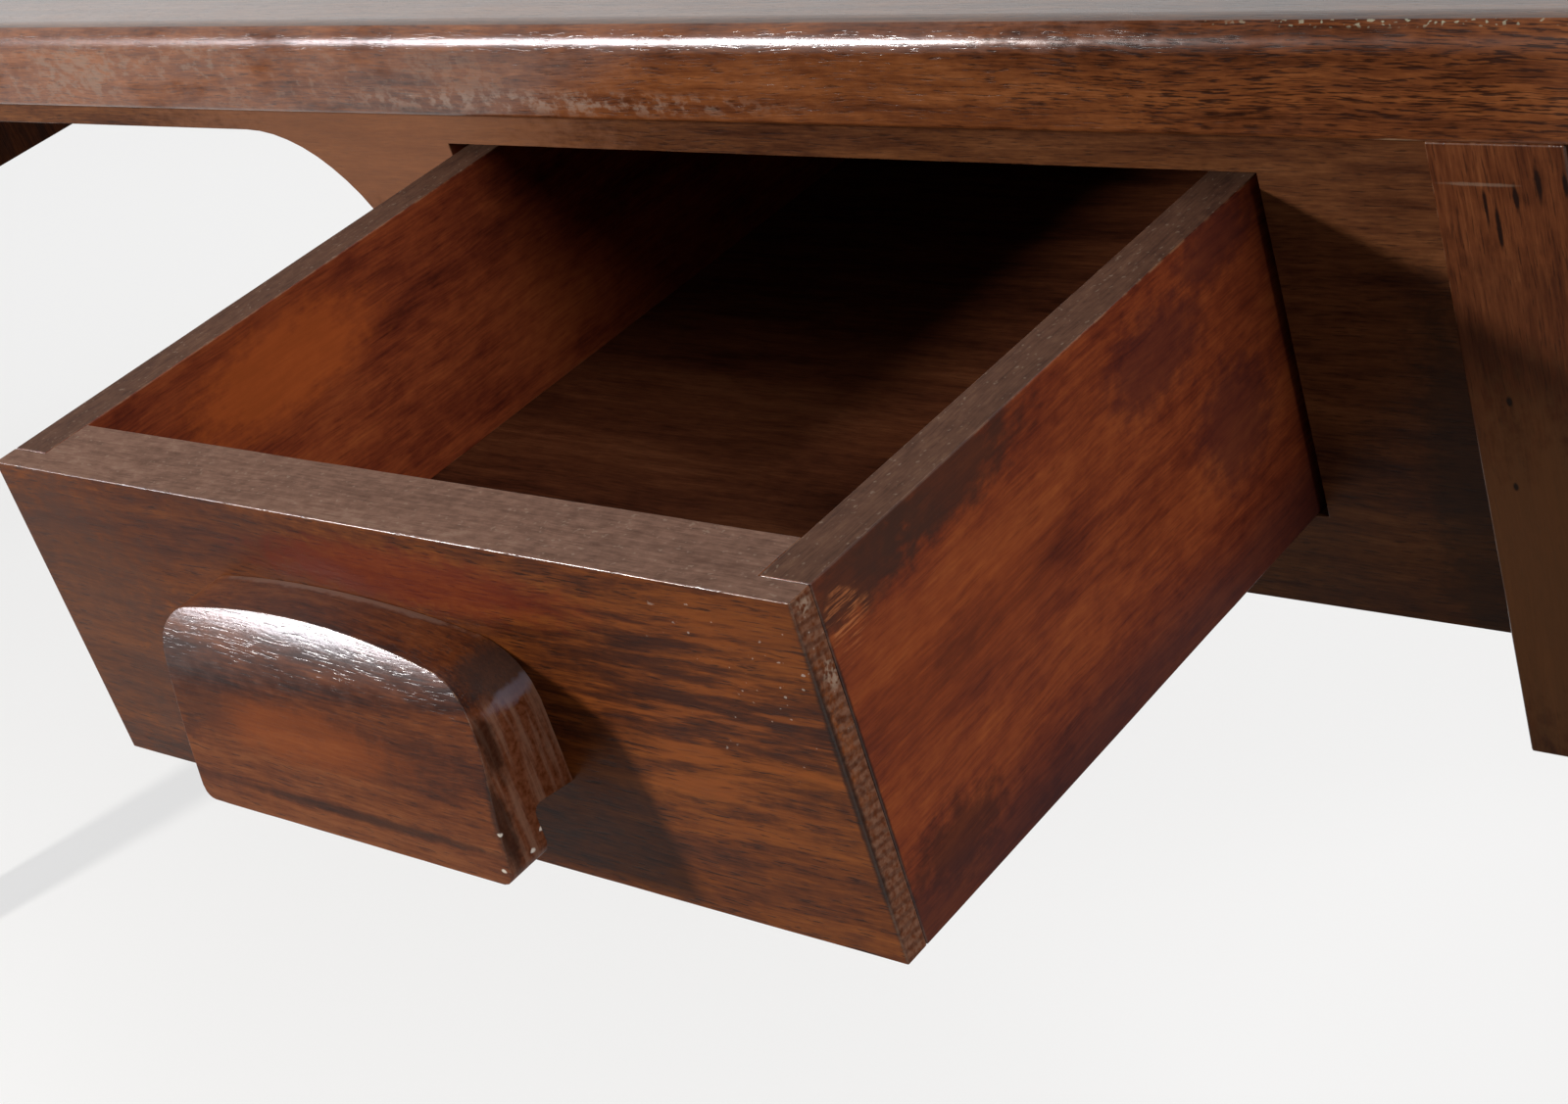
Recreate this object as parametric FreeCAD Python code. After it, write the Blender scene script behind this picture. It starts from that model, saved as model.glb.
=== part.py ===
import FreeCAD, Part
import math
import os

# Office desk in dark hardwood: a thick boarded top on deep end rails, raked legs bolted outside the
# rails, a front apron with an arched kneehole, and one drawer at the right, shown pulled out.
# X runs along the desk, Y from front to back, Z up from the floor. The origin lies on the floor
# under the middle of the whole desk with its drawer out. All lengths are in millimetres.

# Overall sizes
desk_height = 757.5
top_length = 1524.0
top_depth = 800.0
top_thickness = 36.5
pulled_out = 236.3

# Table top
top_board_count = 4
top_edge_radius = 10.0
top_under_radius = 2.0
top_corner_radius = 12.0
front_overhang = 11.0
rear_overhang = 11.0
side_overhang = 10.0
tongue_width = 24.0
tongue_thickness = 8.0
tongue_end_margin = 45.0

# End rails and legs
end_rail_thickness = 43.0
end_rail_height = 218.0
end_rail_proud = 10.0
leg_thickness = 43.0
leg_top_width = 84.0
leg_foot_width = 48.0
leg_top_setback = 28.0
leg_foot_setback = 1.0
glide_diameter = 24.0
glide_height = 5.0
glide_rim = 1.5
glide_nail_diameter = 3.0
glide_nail_length = 16.0

# Bolts that hold each leg to its end rail, with their heads under wooden plugs
bolt_diameter = 10.0
bolt_head_across_flats = 17.0
bolt_head_height = 6.5
bolt_upper_drop = 58.0
bolt_lower_drop = 168.0
bolt_end_past_nut = 3.0
washer_diameter = 22.0
washer_thickness = 2.0
nut_height = 8.0
plug_diameter = 24.0
plug_thickness = 6.0

# Aprons and the blocks glued into the corners behind them
apron_thickness = 24.0
apron_height = 179.0
kneehole_rail_height = 14.0
kneehole_radius = 76.0
kneehole_left_cheek = 50.0
kneehole_right_cheek = 50.0
apron_dowel_diameter = 10.0
apron_dowel_length = 50.0
apron_dowel_end_drop = 30.0
apron_dowels_per_joint = 3
corner_block_leg = 30.0
corner_block_height = 120.0

# Drawer
drawer_width = 360.0
drawer_length = 480.0
drawer_height = 121.8
drawer_top_drop = 20.4
drawer_from_end_rail = 68.3
front_thickness = 28.2
front_lip = 9.2
side_thickness = 17.7
back_thickness = 14.0
back_setback = 12.0
back_housing = 5.0
bottom_thickness = 8.0
bottom_groove = 7.0
bottom_lift = 14.2
corner_dowel_diameter = 6.0
corner_dowel_length = 26.0
corner_dowel_in_lip = 5.5
corner_dowel_end = 22.0
corner_dowels_per_corner = 3
bottom_screw_end = 50.0
bottom_screw_count = 3
pin_end = 22.0
pins_per_side = 2

# Drawer housing behind the apron
opening_side_clearance = 3.9
opening_top_clearance = 3.2
running_clearance = 0.3
guide_clearance = 0.5
kicker_clearance = 1.0
partition_thickness = 18.0
partition_dowel_diameter = 8.0
partition_dowel_length = 32.0
partition_dowel_end_drop = 45.0
partition_dowels_per_end = 2
runner_width = 22.0
runner_height = 16.0
kicker_width = 22.0
guide_height = 30.0
strip_fixing_end_distance = 90.0
strip_fixings = 3
stop_width = 16.0
stop_length = 26.0
stop_height = 22.0

# Buttons: wooden clips whose tongues sit in mortises and hold the top down
button_width = 34.0
button_reach = 30.0
button_height = 20.0
button_tongue_length = 9.0
button_tongue_height = 9.0
mortise_clearance = 1.0
button_end_distance = 180.0
buttons_per_rail = 3

# Countersunk wood screws and headless pins. A bite is how far a screw goes into its second piece.
screw_diameter = 4.0
screw_head_diameter = 8.0
screw_head_height = 2.4
screw_tip_length = 5.0
top_screw_bite = 14.0
housing_screw_bite = 9.0
drawer_screw_bite = 14.0
kneehole_rail_screw_count = 3
pin_diameter = 2.4
back_pin_bite = 23.0
guide_pin_bite = 10.5
hole_clearance = 0.1

# Carved drawer pull: a block with a crowned top and a front that falls over a rounded shoulder, whose
# lip hangs below its base for the fingers
pull_width = 147.0
pull_height = 70.9
pull_drop = 26.6
pull_offset = 8.4
pull_top_crown = 9.0
pull_top_reach = 16.5
pull_shoulder_drop = 22.0
pull_shoulder_reach = 26.3
pull_shoulder_bulge = 1.5
pull_reach = 33.7
pull_front_bulge = 0.6
pull_lip_thickness = 16.7
pull_lip_height = 14.9
pull_cove_rise = 2.8
pull_cove_radius = 3.5
pull_top_corner_radius = 19.0
pull_bottom_corner_radius = 5.0
pull_screw_spacing = 84.0
pull_screw_drop = 27.0

# How far a cutting shape runs past the face that it opens
overrun = 5.0

# Places that follow from the sizes above
underside = desk_height - top_thickness
half_length = top_length / 2
leg_outer = half_length - side_overhang
leg_inner = leg_outer - leg_thickness
rail_inner = leg_inner - end_rail_thickness

apron_face = (pulled_out + pull_reach + front_overhang - top_depth) / 2
top_front = apron_face - front_overhang
top_rear = top_front + top_depth
rear_face = top_rear - rear_overhang
apron_back = apron_face + apron_thickness
rear_apron_inner = rear_face - apron_thickness
apron_bottom = underside - apron_height
end_rail_bottom = underside - end_rail_height

drawer_right = rail_inner - drawer_from_end_rail
drawer_left = drawer_right - drawer_width
drawer_top = underside - drawer_top_drop
drawer_bottom = drawer_top - drawer_height
drawer_face = apron_face - pulled_out
drawer_end = drawer_face + drawer_length
front_back = drawer_face + front_thickness
lip_back = drawer_face + front_lip
bottom_under = drawer_bottom + bottom_lift
bottom_top = bottom_under + bottom_thickness
back_rear = drawer_end - back_setback
back_front = back_rear - back_thickness

opening_left = drawer_left - opening_side_clearance
opening_right = drawer_right + opening_side_clearance
opening_top = drawer_top + opening_top_clearance
opening_bottom = drawer_bottom - running_clearance
kneehole_right = opening_left - kneehole_right_cheek
kneehole_left = kneehole_left_cheek - rail_inner
stop_front = apron_face + drawer_length + running_clearance
runner_bottom = opening_bottom - runner_height
guide_top = opening_bottom + guide_height
kicker_bottom = drawer_top + kicker_clearance
pull_top = drawer_top - pull_drop
pull_bottom = pull_top - pull_height
pull_middle = (drawer_left + drawer_right) / 2 - pull_offset

X = FreeCAD.Vector(1, 0, 0)
Y = FreeCAD.Vector(0, 1, 0)
Z = FreeCAD.Vector(0, 0, 1)
SIDES = {"left": -1, "right": 1}


def point(x, y, z):
    return FreeCAD.Vector(x, y, z)


def block(x0, x1, y0, y1, z0, z1):
    return Part.makeBox(x1 - x0, y1 - y0, z1 - z0, point(x0, y0, z0))


def rod(diameter, length, start, direction):
    return Part.makeCylinder(diameter / 2, length, start, direction)


def spread(first, last, count):
    return [first + (last - first) * i / (count - 1) for i in range(count)]


def group(solids):
    return Part.makeCompound(solids)


def save(name, shape):
    shape.exportStep("parts/" + name + ".step")


def hexagon(across_flats, height, start, direction):
    """A hexagonal prism from start along direction."""
    corner = across_flats / math.sqrt(3)
    turns = [math.radians(angle) for angle in range(0, 361, 60)]
    ring = [point(corner * math.cos(turn), corner * math.sin(turn), 0) for turn in turns]
    prism = Part.Face(Part.makePolygon(ring)).extrude(Z * height)
    prism.Placement = FreeCAD.Placement(start, FreeCAD.Rotation(Z, direction))
    return prism


def screw(head, direction, length, clearance=0):
    """A countersunk wood screw from the middle of its flat head; with a clearance, its hole."""
    radius = screw_diameter / 2 + clearance
    head_radius = screw_head_diameter / 2 + clearance
    neck = head + direction * screw_head_height
    tip = head + direction * (length - screw_tip_length + clearance)
    cone = Part.makeCone(head_radius, radius, screw_head_height, head, direction)
    shank_length = length - screw_head_height - screw_tip_length + clearance
    shank = Part.makeCylinder(radius, shank_length, neck, direction)
    point_cone = Part.makeCone(radius, 0, screw_tip_length, tip, direction)
    return cone.fuse(shank).fuse(point_cone)


def screws_and_holes(places, direction, length):
    solids = [screw(head, direction, length) for head in places]
    holes = [screw(head, direction, length, hole_clearance) for head in places]
    return solids, holes


def rods_and_holes(places, direction, diameter, length):
    """Dowels or pins, and the holes that they fill, a little wider."""
    solids = [rod(diameter, length, start, direction) for start in places]
    holes = [rod(diameter + 2 * hole_clearance, length, start, direction) for start in places]
    return solids, holes


def round_edges(shape, radius, chosen):
    edges = [edge for edge in shape.Edges if chosen(edge.BoundBox)]
    return shape.makeFillet(radius, edges)


def near(value, target):
    return abs(value - target) < hole_clearance


# Fixings. Each set is worked out once: the solids make a node, and the holes cut the wood.

def leg_edges(height):
    """How far a leg's outer and inner edges stand behind the face of the apron, at a height."""
    outer_share = (underside - height) / (underside - glide_height)
    outer = leg_top_setback + (leg_foot_setback - leg_top_setback) * outer_share
    knee = leg_top_setback + leg_top_width
    foot = leg_foot_setback + leg_foot_width
    inner_share = max(0, end_rail_bottom - height) / (end_rail_bottom - glide_height)
    return outer, knee + (foot - knee) * inner_share


def leg_place(end, distance):
    """Turns a distance from the front or rear apron's outer face into Y."""
    return apron_face + distance if end == "front" else rear_face - distance


def leg_middle(end, height):
    return leg_place(end, sum(leg_edges(height)) / 2)


def bolt_places():
    """Side, Y and Z of each leg bolt."""
    heights = [underside - bolt_upper_drop, underside - bolt_lower_drop]
    return [
        (side, leg_middle(end, height), height)
        for side in SIDES.values()
        for end in ("front", "rear")
        for height in heights
    ]


def ring(outer_diameter, inner_diameter, length, start, direction):
    return rod(outer_diameter, length, start, direction).cut(
        rod(inner_diameter, length, start, direction)
    )


def leg_bolts():
    """One solid each per bolt, pair of washers, nut and plug, from the leg's face inwards."""
    bolts, washers, nuts, plugs, holes = [], [], [], [], []
    bore = bolt_diameter + 2 * hole_clearance
    head_seat = leg_outer - plug_thickness - bolt_head_height
    counterbore = plug_thickness + bolt_head_height + washer_thickness
    nut_face = rail_inner - washer_thickness
    for side, y, z in bolt_places():
        inward = X * -side
        outer_end = point(side * leg_outer, y, z)
        head_start = outer_end + inward * plug_thickness
        shank_start = point(side * head_seat, y, z)
        shank_length = head_seat - nut_face + nut_height + bolt_end_past_nut
        head = hexagon(bolt_head_across_flats, bolt_head_height, head_start, inward)
        bolts.append(head.fuse(rod(bolt_diameter, shank_length, shank_start, inward)))
        for seat in (head_seat, rail_inner):
            start = point(side * seat, y, z)
            washers.append(ring(washer_diameter, bore, washer_thickness, start, inward))
        nut_start = point(side * nut_face, y, z)
        nut = hexagon(bolt_head_across_flats, nut_height, nut_start, inward)
        nuts.append(nut.cut(rod(bore, nut_height, nut_start, inward)))
        plugs.append(rod(plug_diameter, plug_thickness, outer_end, inward))
        holes.append(rod(bore, leg_outer - rail_inner, outer_end, inward))
        holes.append(rod(plug_diameter + 2 * hole_clearance, counterbore, outer_end, inward))
    return bolts, washers, nuts, plugs, holes


def apron_dowels():
    """Dowels from each end of both aprons into the end rails."""
    heights = spread(
        underside - apron_dowel_end_drop, apron_bottom + apron_dowel_end_drop, apron_dowels_per_joint
    )
    places = [
        point(side * rail_inner - apron_dowel_length / 2, y, z)
        for side in SIDES.values()
        for y in (apron_face + apron_thickness / 2, rear_face - apron_thickness / 2)
        for z in heights
    ]
    return rods_and_holes(places, X, apron_dowel_diameter, apron_dowel_length)


def partition_dowels():
    """Dowels from both aprons into the ends of the partitions."""
    heights = spread(
        underside - partition_dowel_end_drop,
        apron_bottom + partition_dowel_end_drop,
        partition_dowels_per_end,
    )
    half = partition_thickness / 2
    places = [
        point(x, joint - partition_dowel_length / 2, z)
        for x in (opening_left - half, opening_right + half)
        for joint in (apron_back, rear_apron_inner)
        for z in heights
    ]
    return rods_and_holes(places, Y, partition_dowel_diameter, partition_dowel_length)


def strip_places():
    """Y of the fixings along each runner, guide and kicker."""
    first = apron_back + strip_fixing_end_distance
    last = stop_front - strip_fixing_end_distance
    return spread(first, last, strip_fixings)


def runner_screws():
    solids, holes = [], []
    z = opening_bottom - runner_height / 2
    for name, side in SIDES.items():
        inner = opening_left + runner_width if name == "left" else opening_right - runner_width
        places = [point(inner, y, z) for y in strip_places()]
        made, cut = screws_and_holes(places, X * side, runner_width + housing_screw_bite)
        solids += made
        holes += cut
    return solids, holes


def kicker_screws():
    half = kicker_width / 2
    places = [
        point(x, y, kicker_bottom)
        for x in (opening_left + half, opening_right - half)
        for y in strip_places()
    ]
    return screws_and_holes(places, Z, underside - kicker_bottom + top_screw_bite)


def guide_thickness():
    return opening_side_clearance - guide_clearance


def guide_pins():
    solids, holes = [], []
    z = opening_bottom + guide_height / 2
    for name, side in SIDES.items():
        inner = opening_left if name == "left" else opening_right
        inner -= side * guide_thickness()
        places = [point(inner, y, z) for y in strip_places()]
        length = guide_thickness() + guide_pin_bite
        made, cut = rods_and_holes(places, X * side, pin_diameter, length)
        solids += made
        holes += cut
    return solids, holes


def stop_screws():
    half = stop_width / 2
    places = [
        point(x, stop_front + stop_length / 2, opening_bottom + stop_height)
        for x in (opening_left + half, opening_right - half)
    ]
    return screws_and_holes(places, -Z, stop_height + housing_screw_bite)


def button_places():
    """Middle of each button's face on its rail, and the direction into that rail."""
    places = []
    first = apron_back + button_end_distance
    last = rear_apron_inner - button_end_distance
    for side in SIDES.values():
        for y in spread(first, last, buttons_per_rail):
            places.append((point(side * rail_inner, y, underside), X * side))
    last = opening_left - partition_thickness - button_end_distance
    for x in spread(button_end_distance - rail_inner, last, buttons_per_rail):
        places.append((point(x, rear_apron_inner, underside), Y))
    return places


def button_screws():
    places = [
        face - direction * (button_reach / 2) - Z * button_height
        for face, direction in button_places()
    ]
    return screws_and_holes(places, Z, button_height + top_screw_bite)


def kneehole_rail_screws():
    first = kneehole_left + kneehole_radius
    last = kneehole_right - kneehole_radius
    z = underside - kneehole_rail_height
    y = apron_face + apron_thickness / 2
    places = [point(x, y, z) for x in spread(first, last, kneehole_rail_screw_count)]
    return screws_and_holes(places, Z, kneehole_rail_height + top_screw_bite)


def corner_dowels():
    """Dowels from the lips of the drawer's front into the ends of its sides."""
    half = side_thickness / 2
    heights = spread(
        drawer_top - corner_dowel_end, bottom_top + corner_dowel_end / 2, corner_dowels_per_corner
    )
    places = [
        point(x, lip_back - corner_dowel_in_lip, z)
        for x in (drawer_left + half, drawer_right - half)
        for z in heights
    ]
    return rods_and_holes(places, Y, corner_dowel_diameter, corner_dowel_length)


def back_pins():
    """Pins through the drawer's sides into the ends of its back."""
    solids, holes = [], []
    y = (back_front + back_rear) / 2
    length = side_thickness - back_housing + back_pin_bite
    for z in spread(drawer_top - pin_end, bottom_top + pin_end, pins_per_side):
        for outer, inward in ((drawer_left, X), (drawer_right, -X)):
            made, cut = rods_and_holes([point(outer, y, z)], inward, pin_diameter, length)
            solids += made
            holes += cut
    return solids, holes


def bottom_screws():
    y = (back_front + back_rear) / 2
    places = [
        point(x, y, bottom_under)
        for x in spread(
            drawer_left + bottom_screw_end, drawer_right - bottom_screw_end, bottom_screw_count
        )
    ]
    return screws_and_holes(places, Z, bottom_thickness + drawer_screw_bite)


def pull_screws():
    half = pull_screw_spacing / 2
    places = [
        point(pull_middle + offset, front_back, pull_top - pull_screw_drop)
        for offset in (-half, half)
    ]
    return screws_and_holes(places, -Y, front_thickness + drawer_screw_bite)


# Table top

def top_slab():
    """The whole top with its edges rounded, before it is parted into boards."""
    slab = block(-half_length, half_length, top_front, top_rear, underside, desk_height)
    slab = round_edges(slab, top_corner_radius, lambda box: near(box.ZLength, top_thickness))
    slab = round_edges(slab, top_edge_radius, lambda box: near(box.ZMin, desk_height))
    return round_edges(slab, top_under_radius, lambda box: near(box.ZMax, underside))


def board_lines():
    """Y of every long edge of the boards, from front to rear."""
    return spread(top_front, top_rear, top_board_count + 1)


def top_tongues():
    """Loose tongues let into the joints between the boards."""
    reach = half_length - tongue_end_margin
    middle = underside + top_thickness / 2
    return [
        block(
            -reach,
            reach,
            line - tongue_width / 2,
            line + tongue_width / 2,
            middle - tongue_thickness / 2,
            middle + tongue_thickness / 2,
        )
        for line in board_lines()[1:-1]
    ]


def top_boards(holes):
    slab = top_slab()
    lines = board_lines()
    boards = []
    for near_line, far_line in zip(lines, lines[1:]):
        y0 = near_line - overrun if near_line == top_front else near_line
        y1 = far_line + overrun if far_line == top_rear else far_line
        strip = block(
            -half_length - overrun,
            half_length + overrun,
            y0,
            y1,
            underside - overrun,
            desk_height + overrun,
        )
        boards.append(slab.common(strip).cut(group(top_tongues() + holes)))
    return boards


# Frame

def button_mortises():
    """The pockets in the end rails and the rear apron that take the buttons' tongues."""
    low = underside - button_height - mortise_clearance
    high = underside - button_height + button_tongue_height
    half = button_width / 2 + mortise_clearance
    depth = button_tongue_length + mortise_clearance
    pockets = []
    for face, direction in button_places():
        across = Z.cross(direction)
        start = face - across * half - direction * overrun
        end = face + across * half + direction * depth
        pockets.append(
            block(
                min(start.x, end.x),
                max(start.x, end.x),
                min(start.y, end.y),
                max(start.y, end.y),
                low,
                high,
            )
        )
    return pockets


def end_rail(side, holes):
    x0, x1 = sorted((side * rail_inner, side * leg_inner))
    front = apron_face - end_rail_proud
    rear = rear_face + end_rail_proud
    rail = block(x0, x1, front, rear, end_rail_bottom, underside)
    return rail.cut(group(holes + button_mortises()))


def leg(side, end, holes):
    """A board on edge that keeps its width beside the end rail and tapers from there to the foot."""
    outline = []
    for height, edges in (
        (underside, leg_edges(underside)),
        (end_rail_bottom, leg_edges(end_rail_bottom)[1:]),
        (glide_height, leg_edges(glide_height)[::-1]),
    ):
        for distance in edges:
            outline.append(point(side * leg_inner, leg_place(end, distance), height))
    outline.append(outline[0])
    board = Part.Face(Part.makePolygon(outline)).extrude(X * side * leg_thickness)
    return board.cut(group(holes))


def foot_glides():
    """Steel glides nailed under the feet, each with its nail."""
    glides, holes = [], []
    for side in SIDES.values():
        for end in ("front", "rear"):
            base = point(side * (leg_inner + leg_thickness / 2), leg_middle(end, glide_height), 0)
            disc = rod(glide_diameter, glide_height, base, Z)
            disc = disc.makeChamfer(
                glide_rim, [edge for edge in disc.Edges if near(edge.BoundBox.ZMax, 0)]
            )
            nail_start = base + Z * glide_height
            glides.append(disc.fuse(rod(glide_nail_diameter, glide_nail_length, nail_start, Z)))
            holes += rods_and_holes([nail_start], Z, glide_nail_diameter, glide_nail_length)[1]
    return glides, holes


def front_apron(holes):
    """One board with the arched kneehole cut from its lower edge and the drawer's opening in it."""
    board = block(-rail_inner, rail_inner, apron_face, apron_back, apron_bottom, underside)
    y0 = apron_face - overrun
    y1 = apron_back + overrun
    crown = underside - kneehole_rail_height
    arch = block(kneehole_left, kneehole_right, y0, y1, apron_bottom - overrun, crown)
    arch = round_edges(
        arch, kneehole_radius, lambda box: near(box.YLength, y1 - y0) and near(box.ZMin, crown)
    )
    opening = block(opening_left, opening_right, y0, y1, opening_bottom, opening_top)
    return board.cut(group([arch, opening])).cut(group(holes))


def rear_apron(holes):
    board = block(-rail_inner, rail_inner, rear_apron_inner, rear_face, apron_bottom, underside)
    return board.cut(group(holes + button_mortises()))


def corner_block(side, end):
    """A three-cornered block glued between an apron and an end rail."""
    corner_y = apron_back if end == "front" else rear_apron_inner
    inward = 1 if end == "front" else -1
    bottom = underside - corner_block_height
    corner = point(side * rail_inner, corner_y, bottom)
    outline = [corner, corner - X * side * corner_block_leg, corner + Y * inward * corner_block_leg]
    return Part.Face(Part.makePolygon(outline + [corner])).extrude(Z * corner_block_height)


def top_buttons(holes):
    buttons = []
    for face, direction in button_places():
        across = Z.cross(direction) * (button_width / 2)
        body_start = face - across - direction * button_reach - Z * button_height
        body_end = face + across
        tongue_start = face - across - Z * button_height - direction * button_reach
        tongue_end = face + across + direction * button_tongue_length
        tongue_end -= Z * (button_height - button_tongue_height)
        body = corner_box(body_start, body_end).fuse(corner_box(tongue_start, tongue_end))
        buttons.append(body.removeSplitter().cut(group(holes)))
    return buttons


def corner_box(a, b):
    return block(
        min(a.x, b.x), max(a.x, b.x), min(a.y, b.y), max(a.y, b.y), min(a.z, b.z), max(a.z, b.z)
    )


# Drawer housing

def partition(name, holes):
    if name == "left":
        x0, x1 = opening_left - partition_thickness, opening_left
    else:
        x0, x1 = opening_right, opening_right + partition_thickness
    board = block(x0, x1, apron_back, rear_apron_inner, apron_bottom, underside)
    return board.cut(group(holes))


def strip(name, width, y1, z0, z1, holes):
    """A strip against a partition's inner face, from the apron back to y1."""
    if name == "left":
        x0, x1 = opening_left, opening_left + width
    else:
        x0, x1 = opening_right - width, opening_right
    return block(x0, x1, apron_back, y1, z0, z1).cut(group(holes))


def drawer_stop(name, holes):
    if name == "left":
        x0, x1 = opening_left, opening_left + stop_width
    else:
        x0, x1 = opening_right - stop_width, opening_right
    y1 = stop_front + stop_length
    z1 = opening_bottom + stop_height
    return block(x0, x1, stop_front, y1, opening_bottom, z1).cut(group(holes))


# Drawer

def drawer_front(holes):
    """The front board, rebated at both ends so that a thin lip covers the sides' end grain."""
    board = block(drawer_left, drawer_right, drawer_face, front_back, drawer_bottom, drawer_top)
    rebates = [
        block(x0, x1, lip_back, front_back + overrun, drawer_bottom - overrun, drawer_top + overrun)
        for x0, x1 in (
            (drawer_left - overrun, drawer_left + side_thickness),
            (drawer_right - side_thickness, drawer_right + overrun),
        )
    ]
    groove = block(
        drawer_left,
        drawer_right,
        front_back - bottom_groove,
        front_back + overrun,
        bottom_under,
        bottom_top,
    )
    return board.cut(group(rebates)).cut(groove).cut(group(holes))


def drawer_side(name, holes):
    """A side board with a groove for the bottom and a housing for the back."""
    if name == "left":
        outer, inner, inward = drawer_left, drawer_left + side_thickness, 1
    else:
        outer, inner, inward = drawer_right, drawer_right - side_thickness, -1
    board = corner_box(
        point(outer, lip_back, drawer_bottom), point(inner, drawer_end, drawer_top)
    )
    groove = corner_box(
        point(inner - inward * bottom_groove, lip_back - overrun, bottom_under),
        point(inner + inward * overrun, drawer_end + overrun, bottom_top),
    )
    housing = corner_box(
        point(inner - inward * back_housing, back_front, bottom_top),
        point(inner + inward * overrun, back_rear, drawer_top + overrun),
    )
    return board.cut(groove).cut(housing).cut(group(holes))


def drawer_back(holes):
    x0 = drawer_left + side_thickness - back_housing
    x1 = drawer_right - side_thickness + back_housing
    return block(x0, x1, back_front, back_rear, bottom_top, drawer_top).cut(group(holes))


def drawer_bottom_panel(holes):
    x0 = drawer_left + side_thickness - bottom_groove
    x1 = drawer_right - side_thickness + bottom_groove
    panel = block(x0, x1, front_back - bottom_groove, back_rear, bottom_under, bottom_top)
    return panel.cut(group(holes))


def bulged(start, end, bulge):
    """An arc from start to end across X that stands out from its chord by the bulge."""
    chord = (end - start).normalize()
    return Part.Arc(start, (start + end) * 0.5 - X.cross(chord) * bulge, end).toShape()


def drawer_pull(holes):
    """A carved block: its section falls over a shoulder to a full front, and a lip hangs below."""
    x0 = pull_middle - pull_width / 2
    x1 = pull_middle + pull_width / 2
    lip_back_y = drawer_face - pull_reach + pull_lip_thickness
    base_bottom = pull_bottom + pull_lip_height
    base_top = point(x0, drawer_face, pull_top)
    brow = point(x0, drawer_face - pull_top_reach, pull_top)
    shoulder = point(x0, drawer_face - pull_shoulder_reach, pull_top - pull_shoulder_drop)
    toe = point(x0, drawer_face - pull_reach, pull_bottom)
    heel = point(x0, lip_back_y, pull_bottom)
    cove = point(x0, lip_back_y, base_bottom + pull_cove_rise)
    base = point(x0, drawer_face, base_bottom)
    edges = [
        Part.makeLine(base_top, brow),
        bulged(brow, shoulder, pull_shoulder_bulge),
        bulged(shoulder, toe, pull_front_bulge),
        Part.makeLine(toe, heel),
        Part.makeLine(heel, cove),
        Part.makeLine(cove, base),
        Part.makeLine(base, base_top),
    ]
    body = Part.Face(Part.Wire(edges)).extrude(X * pull_width)
    body = round_edges(
        body, pull_cove_radius, lambda box: near(box.YMax, cove.y) and near(box.ZMin, cove.z)
    )
    y0 = drawer_face - pull_reach - overrun
    y1 = drawer_face + overrun
    crown_end = pull_top - pull_top_crown
    corners = [
        point(x, y0, z)
        for x, z in ((x0, crown_end), (x0, pull_bottom), (x1, pull_bottom), (x1, crown_end))
    ]
    crown = Part.Arc(corners[-1], point(pull_middle, y0, pull_top), corners[0]).toShape()
    outline = Part.Wire(Part.makePolygon(corners).Edges + [crown])
    envelope = Part.Face(outline).extrude(Y * (y1 - y0))
    for radius, height in (
        (pull_top_corner_radius, crown_end),
        (pull_bottom_corner_radius, pull_bottom),
    ):
        envelope = round_edges(
            envelope,
            radius,
            lambda box: near(box.YLength, y1 - y0) and near((box.ZMin + box.ZMax) / 2, height),
        )
    return body.common(envelope).cut(group(holes))


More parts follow.
